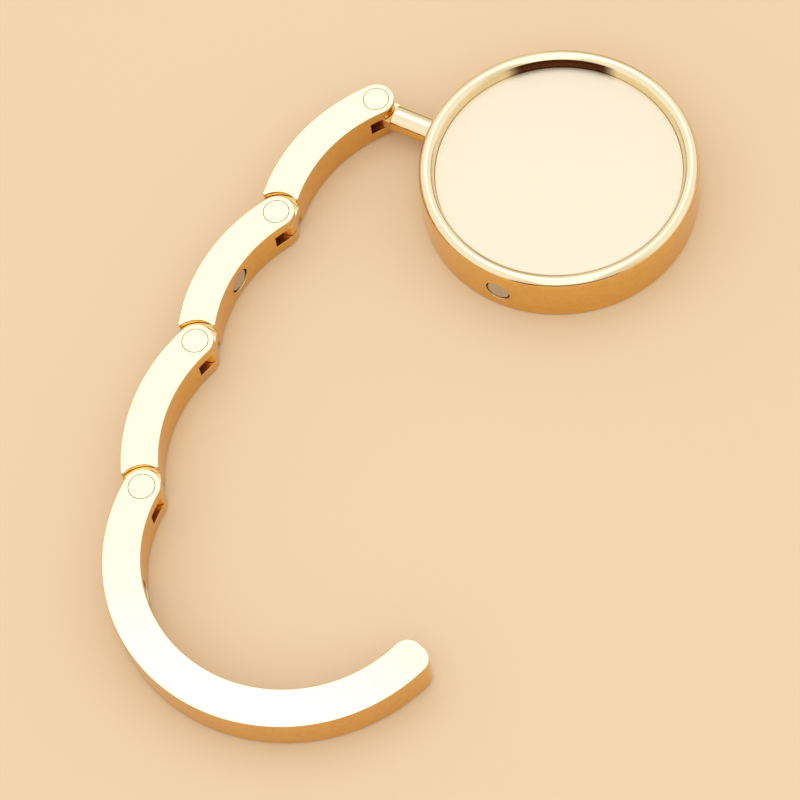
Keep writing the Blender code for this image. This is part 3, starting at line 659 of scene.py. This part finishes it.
def link_outline():
    """Fork end, outer side, horn, shoulder, horn and inner side of a link, as tangent arcs."""
    centre = np.array((0, LINK_BOW_RADIUS))
    end = np.array((LINK_BOW_RADIUS * math.sin(LINK_ARC), LINK_BOW_RADIUS * (1 - math.cos(LINK_ARC))))
    outer, inner = LINK_BOW_RADIUS + EAR_RADIUS, LINK_BOW_RADIUS - EAR_RADIUS
    outer_horn = meet(centre, outer - HORN_ROUND, end, SHOULDER_RADIUS + HORN_ROUND, -1)
    inner_horn = meet(centre, inner + HORN_ROUND, end, SHOULDER_RADIUS + HORN_ROUND, -1)
    outer_way, inner_way = way_to(centre, outer_horn), way_to(centre, inner_horn)
    shoulder_start = way_to(end, outer_horn) % (2 * math.pi)
    shoulder_end = way_to(end, inner_horn) % (2 * math.pi)
    return [
        ((0, 0), EAR_RADIUS, QUARTER, 3 * QUARTER),
        (centre, outer, -QUARTER, outer_way),
        (outer_horn, HORN_ROUND, outer_way, shoulder_start - math.pi),
        (end, -SHOULDER_RADIUS, shoulder_start, shoulder_end),
        (inner_horn, HORN_ROUND, shoulder_end - math.pi, inner_way + math.pi),
        (centre, -inner, inner_way, -QUARTER),
    ], end


def link_tongue(end):
    """Outline of a link's tongue: its flanks follow the bow, turn about the next pivot and stop
    at a flat end with rounded corners.
    """
    centre = np.array((0, LINK_BOW_RADIUS))
    root = LINK_ARC - (SHOULDER_RADIUS + TONGUE_ROOT) / LINK_BOW_RADIUS - QUARTER
    tip = LINK_ARC - QUARTER
    outer, inner = LINK_BOW_RADIUS + TONGUE_RADIUS, LINK_BOW_RADIUS - TONGUE_RADIUS
    lean = math.asin((TONGUE_END - TONGUE_CORNER) / (TONGUE_RADIUS - TONGUE_CORNER))
    ways = np.array((tip + lean, tip + math.pi - lean))
    corners = end + (TONGUE_RADIUS - TONGUE_CORNER) * np.column_stack((np.cos(ways), np.sin(ways)))
    return [
        (centre, outer, root, tip),
        (end, TONGUE_RADIUS, tip, ways[0]),
        (corners[0], TONGUE_CORNER, ways[0], tip + QUARTER),
        (corners[0], TONGUE_CORNER, tip + QUARTER, tip + QUARTER),
        (corners[1], TONGUE_CORNER, tip + QUARTER, ways[1]),
        (end, TONGUE_RADIUS, ways[1], tip + math.pi),
        (centre, -inner, tip, root),
        (centre, -inner, root, root),
    ]


def cut_arm_pocket(piece, bow_radius, magnet_way):
    """Drills a magnet's pocket into the inner side of a bowed piece, away from the bow's centre."""
    start = bow_radius - EAR_RADIUS + MAGNET_RECESS + MAGNET_POCKET_END - ARM_POCKET_LENGTH
    place = (start * math.cos(magnet_way), bow_radius + start * math.sin(magnet_way), 0)
    pocket = rod(MAGNET_HOLE_RADIUS, 0, ARM_POCKET_LENGTH)
    use_tool(piece, moved(pocket, place, magnet_way, True))


def leave_fork_skins(piece, index, reach):
    """Skins of a dressed fork: painted light on its barrel's back where a shoulder faces it, a cast
    skin with painted shade on the slot's walls and painted shade in the pin's seat. The first fork
    faces the stem and has no painted light on its back.
    """
    pivot = PIVOTS[index]
    if index > 0:
        leave_skin(piece, shoulder_painted_glow, at_radius(piece, pivot, EAR_RADIUS, PIVOTS[index - 1]))
    leave_skin(piece, slot_skin_and_shade, in_slot(piece, pivot, reach))
    leave_skin(piece, seat_shade, at_radius(piece, pivot, PIN_SEAT_RADIUS))


# Deeper orange gold in the slots: painted shade inside the fork, on a rough cast skin that is real.
slot_skin_and_shade = cast_skin("gold_on_slot_walls_with_painted_shade", ("#F0B45C", "#D08A44"))
# Dark brown in the pin seats: painted shade in the thin gap round each pin's head.
seat_shade = cast_skin("painted_shade_in_pin_seats", ("#5A4A34", "#3E3224"))
# Very pale gold on the shoulders and on the barrels' backs that face them: painted light in the gaps
# between links.
shoulder_glow_tones = ("#FFF0CC", "#F7E0AE")
shoulder_painted_glow = gold_plating("gold_with_painted_glow_on_shoulders", PALE_SHEEN_FLATS, shoulder_glow_tones, **MIRROR)
way = -math.pi
link_fork = (TONGUE_SWING, LINK_POCKET_REACH)
fork_sizes = ((STEM_TONGUE_SWING, STEM_TONGUE_SWING), link_fork, link_fork)
link_ways = []
for index, (body, node) in enumerate(LINKS):
    way += OPEN_TURNS[index]
    link_ways.append(way)
    arcs, end = link_outline()
    link = slab(node + "_casting", arcs, ARM_THICKNESS, ARM_EDGE_ROUND)
    use_tool(link, slab("tongue", link_tongue(end), TONGUE_THICKNESS, TONGUE_EDGE), "UNION")
    use_tool(link, fork_slot(OPEN_TURNS[index], SWINGS[index], *fork_sizes[index]))
    use_tool(link, pin_hole())
    use_tool(link, moved(tongue_hole(), (*end, 0)))
    if node == "second_link":
        cut_arm_pocket(link, LINK_BOW_RADIUS, LINK_MAGNET_WAY)
    moved(link, PIVOTS[index], way)
    dress(link, gold, body, "gold", node, break_width=ARM_BREAK)
    leave_fork_skins(link, index, fork_sizes[index][1])
    # The shoulder's face about the next pivot takes the painted light too.
    leave_skin(link, shoulder_painted_glow, at_radius(link, PIVOTS[index + 1], SHOULDER_RADIUS))
    way += LINK_ARC

# Hook
# The last casting: a fork, and a long bow that goes round the bag's handle to a rounded tip.
HOOK_BOW_RADIUS = 0.02575
HOOK_ARC = math.radians(166.061)
HOOK_TIP_ROUND = 0.0024
HOOK_MAGNET_WAY = math.radians(39) - QUARTER


def hook_outline():
    """Fork end, outer side, rounded tip and inner side of the hook, as tangent arcs."""
    centre = (0, HOOK_BOW_RADIUS)
    outer, inner = HOOK_BOW_RADIUS + EAR_RADIUS, HOOK_BOW_RADIUS - EAR_RADIUS
    tip = HOOK_ARC - HOOK_TIP_ROUND / HOOK_BOW_RADIUS - QUARTER
    out_way = np.array((math.cos(tip), math.sin(tip)))
    outer_corner = centre + (outer - HOOK_TIP_ROUND) * out_way
    inner_corner = centre + (inner + HOOK_TIP_ROUND) * out_way
    return [
        ((0, 0), EAR_RADIUS, QUARTER, 3 * QUARTER),
        (centre, outer, -QUARTER, tip),
        (outer_corner, HOOK_TIP_ROUND, tip, tip + QUARTER),
        (outer_corner, HOOK_TIP_ROUND, tip + QUARTER, tip + QUARTER),
        (inner_corner, HOOK_TIP_ROUND, tip + QUARTER, tip + math.pi),
        (centre, -inner, tip, -QUARTER),
    ]


way += OPEN_TURNS[3]
hook = slab("hook_casting", hook_outline(), ARM_THICKNESS, ARM_EDGE_ROUND)
use_tool(hook, fork_slot(OPEN_TURNS[3], SWINGS[3], TONGUE_SWING, HOOK_POCKET_REACH))
use_tool(hook, pin_hole())
cut_arm_pocket(hook, HOOK_BOW_RADIUS, HOOK_MAGNET_WAY)
moved(hook, PIVOTS[3], way)
dress(hook, gold, "hook", "gold", "hook_arm", break_width=ARM_BREAK)
leave_fork_skins(hook, 3, HOOK_POCKET_REACH)

# Arm magnets
# The same magnets, in the inner sides of the second link and the hook; they meet the disc's
# two magnets when the arm is folded.


def bow_magnet(node, body, pivot, way, bow_radius, magnet_way):
    """A magnet just below the inner side of a bowed piece, its axis through the bow's centre."""
    reach = bow_radius - EAR_RADIUS + MAGNET_RECESS
    local = np.array((reach * math.cos(magnet_way), bow_radius + reach * math.sin(magnet_way)))
    spin = np.array(((math.cos(way), -math.sin(way)), (math.sin(way), math.cos(way))))
    place = (*(pivot[:2] + spin @ local), pivot[2])
    add_magnet(node, body, place, way + magnet_way)


link_bow = (PIVOTS[1], link_ways[1], LINK_BOW_RADIUS, LINK_MAGNET_WAY)
bow_magnet("second_link_magnet", "link_2", *link_bow)
bow_magnet("hook_magnet", "hook", PIVOTS[3], way, HOOK_BOW_RADIUS, HOOK_MAGNET_WAY)

# Pivot pins
# Headed pins pressed in from the top, ground flush with both faces and plated with the arm.
PIN_HEAD_RADIUS = 0.00205
PIN_HEAD_DEPTH = 0.0012
PIN_SHANK_RADIUS = 0.0012
PIN_EDGE = 0.00003
PINS = (
    ("link_1", "first_link_pin"),
    ("link_2", "second_link_pin"),
    ("link_3", "third_link_pin"),
    ("hook", "hook_arm_pin"),
)


def pin_profile():
    """Profile of a headed pin with rounded rims and a flat top."""
    half = ARM_THICKNESS / 2
    return np.vstack((
        arc((PIN_SHANK_RADIUS - PIN_EDGE, -half + PIN_EDGE), PIN_EDGE, -QUARTER, 0, FINE_EDGE_STEPS),
        [(PIN_SHANK_RADIUS, half - PIN_HEAD_DEPTH), (PIN_HEAD_RADIUS, half - PIN_HEAD_DEPTH)],
        arc((PIN_HEAD_RADIUS - PIN_EDGE, half - PIN_EDGE), PIN_EDGE, 0, QUARTER, FINE_EDGE_STEPS),
    ))


for (body, node), pivot in zip(PINS, PIVOTS):
    pin = turned(node + "_rivet", pin_profile(), PIVOT_STEPS)
    dress(moved(pin, pivot), gold, body, "gold", node)

# Base cover
# A stamped steel sheet that closes the hollow casting from below.
COVER_RADIUS = 0.0206
COVER_BOTTOM = 0.00075
COVER_TOP = 0.00105
profile = round_rod(COVER_RADIUS, COVER_BOTTOM, COVER_TOP, SHEET_EDGE)
cover = turned("cover_sheet", profile, DISC_STEPS)
dress(cover, steel, "disc", "steel", "base_cover")

# Grip pad
# A rubber disc glued to the cover. Its fine pebbled skin keeps the disc from sliding.
PAD_RADIUS = 0.02
PAD_THICKNESS = 0.0007
PAD_EDGE = 0.0002
PEBBLE_WIDTH = 0.0004
PEBBLE_DEPTH = 4e-5
DUST_WIDTH = 0.003


def moulded_rubber():
    """Black rubber, moulded: matt, with a pebbled skin of 0.4 mm and dust in patches of 3 mm."""
    material, tree, shader = new_material("moulded_rubber")
    place = add_node(tree, "TexCoord").outputs["Object"]
    pebbles = add_node(tree, "TexVoronoi", {"Vector": place, "Scale": 1 / PEBBLE_WIDTH})
    pattern = {"Vector": place, "Scale": 1 / DUST_WIDTH, "Detail": 4.0}
    dust = add_node(tree, "TexNoise", pattern).outputs["Fac"]
    mix = {"Factor": dust, "A": linear("#1B1A19"), "B": linear("#2B2A28")}
    tint = add_node(tree, "Mix", mix, data_type="RGBA")
    rough = add_node(tree, "MapRange", {"Value": dust, "To Min": 0.65, "To Max": 0.9})
    relief = {"Height": pebbles.outputs["Distance"], "Distance": PEBBLE_DEPTH, "Strength": 0.6}
    bump = add_node(tree, "Bump", relief)
    tree.links.new(tint.outputs["Result"], shader.inputs["Base Color"])
    tree.links.new(rough.outputs["Result"], shader.inputs["Roughness"])
    tree.links.new(bump.outputs["Normal"], shader.inputs["Normal"])
    return material


pad = turned("pad_disc", round_rod(PAD_RADIUS, 0, PAD_THICKNESS, PAD_EDGE), DISC_STEPS)
dress(pad, moulded_rubber(), "disc", "rubber", "grip_pad")

# Floor, light and camera
# A plain pale table top in soft light from all round, with a bright strip overhead. It is dark
# low down on the camera's side and just above the far table. The camera has the photo's angle.
FLOOR_HALF = 2.0
FLOOR_CELLS = 40
CLOUD_WIDTH = 0.125


def table_finish():
    """A plain pale table top: matt, and faintly uneven over 125 mm."""
    material, tree, shader = new_material("pale_table_top")
    place = add_node(tree, "TexCoord").outputs["Object"]
    pattern = {"Vector": place, "Scale": 1 / CLOUD_WIDTH, "Detail": 2.0}
    cloud = add_node(tree, "TexNoise", pattern).outputs["Fac"]
    mix = {"Factor": cloud, "A": linear("#EDCFA9"), "B": linear("#F0D5B1")}
    tint = add_node(tree, "Mix", mix, data_type="RGBA")
    tree.links.new(tint.outputs["Result"], shader.inputs["Base Color"])
    shader.inputs["Roughness"].default_value = 0.6
    shader.inputs["Specular IOR Level"].default_value = 0.2
    return material


side_points = FLOOR_CELLS + 1
edge = np.linspace(-FLOOR_HALF, FLOOR_HALF, side_points)
grid_x, grid_y = np.meshgrid(edge, edge, indexing="ij")
corners = np.stack((grid_x, grid_y, np.zeros_like(grid_x)), -1).reshape(-1, 3)
row, column = np.meshgrid(np.arange(FLOOR_CELLS), np.arange(FLOOR_CELLS), indexing="ij")
first = (row * side_points + column).reshape(-1)
cells = np.stack((first, first + side_points, first + side_points + 1, first + 1), -1)
mesh = bpy.data.meshes.new("table_top")
mesh.from_pydata(corners.tolist(), [], cells.tolist())
floor = bpy.data.objects.new("table_top", mesh)
bpy.context.scene.collection.objects.link(floor)
mesh.materials.append(table_finish())

scene = bpy.context.scene
world = bpy.data.worlds.new("soft_studio")
world.use_nodes = True
scene.world = world
tree = world.node_tree
sky = add_node(tree, "TexCoord").outputs["Generated"]


def glow(way, inner, outer):
    """How much of a soft round light is seen along a direction: 1 within inner degrees of its
    middle, 0 beyond outer degrees."""
    way = np.array(way) / np.linalg.norm(way)
    facing = add_node(tree, "VectorMath", {0: sky, 1: way.tolist()}, operation="DOT_PRODUCT")
    limits = {"Value": facing.outputs["Value"], "From Min": math.cos(math.radians(outer))}
    limits["From Max"] = math.cos(math.radians(inner))
    return add_node(tree, "MapRange", limits, interpolation_type="SMOOTHERSTEP").outputs["Result"]


AWAY = (-0.5, 0.866, 0.0)
TOWARD = (0.5, -0.866, 0.0)
ASIDE = (0.866, 0.5, 0.0)
FAR_WALL = (0.66, 0.6, 0.5, 1.0)
WALL_FADE = {"From Min": 0.05, "From Max": 0.3}
SKIRTING_FADE = {"From Min": 0.1, "From Max": 0.05}
STRIP_FADE = {"From Min": 0.36, "From Max": 0.16}
LOW_FADE = {"From Min": 0.22, "From Max": 0.15}
height = add_node(tree, "SeparateXYZ", {"Vector": sky}).outputs["Z"]
above_far_wall = add_node(tree, "MapRange", {"Value": height, **WALL_FADE}).outputs["Result"]
level = add_node(tree, "Math", {0: height}, operation="ABSOLUTE").outputs[0]
level = add_node(tree, "MapRange", {"Value": level, **SKIRTING_FADE}).outputs["Result"]
skirting = add_node(tree, "Math", {0: level, 1: glow(AWAY, 70, 80)}, operation="MULTIPLY").outputs[0]
aside = add_node(tree, "VectorMath", {0: sky, 1: ASIDE}, operation="DOT_PRODUCT").outputs["Value"]
aside = add_node(tree, "Math", {0: aside}, operation="ABSOLUTE").outputs[0]
limits = {"Value": aside, **STRIP_FADE}
strip = add_node(tree, "MapRange", limits, interpolation_type="SMOOTHERSTEP").outputs["Result"]
overhead = glow((0.1, -0.173, 0.98), 46, 56)
strip = add_node(tree, "Math", {0: strip, 1: overhead}, operation="MULTIPLY").outputs[0]
low = add_node(tree, "MapRange", {"Value": height, **LOW_FADE}).outputs["Result"]
low = add_node(tree, "Math", {0: low, 1: glow(TOWARD, 30, 40)}, operation="MULTIPLY").outputs[0]

# The sky's layers, from behind to front: the share of each direction, and the light there.
layers = (
    (above_far_wall, (0.96, 0.96, 0.96)),
    (glow((-0.5, -0.86, 0.12), 22, 45), (1.0, 1.0, 1.0)),
    (glow((0.98, 0.2, 0.12), 22, 45), (1.0, 1.0, 1.0)),
    (glow((0.62, -0.66, 0.42), 24, 52), (0.8, 0.76, 0.68)),
    (glow((-0.46, 0.8, 0.38), 10, 28), (0.82, 0.78, 0.7)),
    (glow((-0.3, 0.94, 0.12), 9, 16), (0.5, 0.43, 0.33)),
    (skirting, (0.06, 0.05, 0.04)),
    (strip, (1.42, 1.42, 1.42)),
    (glow((-0.268, 0.155, 0.951), 3, 10), (1.95, 1.95, 1.95)),
    (low, (0.03, 0.024, 0.018)),
)
seen = FAR_WALL
for share, light in layers:
    mix = {"Factor": share, "A": seen, "B": (*light, 1.0)}
    seen = add_node(tree, "Mix", mix, data_type="RGBA").outputs["Result"]
tree.links.new(seen, tree.nodes["Background"].inputs["Color"])

LENS_MM = 123.44
SENSOR_MM = 36
NEAREST_SEEN = 0.01
CAMERA_RIGHT = (0.8792, 0.4685, -0.0865)
CAMERA_BACK = (0.2862, -0.3743, 0.8820)
CAMERA_PLACE = (0.1176, -0.20609, 0.38064)
camera_data = bpy.data.cameras.new("camera")
camera = bpy.data.objects.new("camera", camera_data)
scene.collection.objects.link(camera)
camera_data.lens = LENS_MM
camera_data.sensor_width = SENSOR_MM
camera_data.clip_start = NEAREST_SEEN
back = np.array(CAMERA_BACK) / np.linalg.norm(CAMERA_BACK)
right = CAMERA_RIGHT - back * (CAMERA_RIGHT @ back)
right = right / np.linalg.norm(right)
up = np.cross(back, right)
placed = np.eye(4)
placed[:3, 0], placed[:3, 1], placed[:3, 2] = right, up, back
placed[:3, 3] = CAMERA_PLACE
camera.matrix_world = Matrix(placed.tolist())
scene.camera = camera
scene.view_settings.view_transform = "Standard"
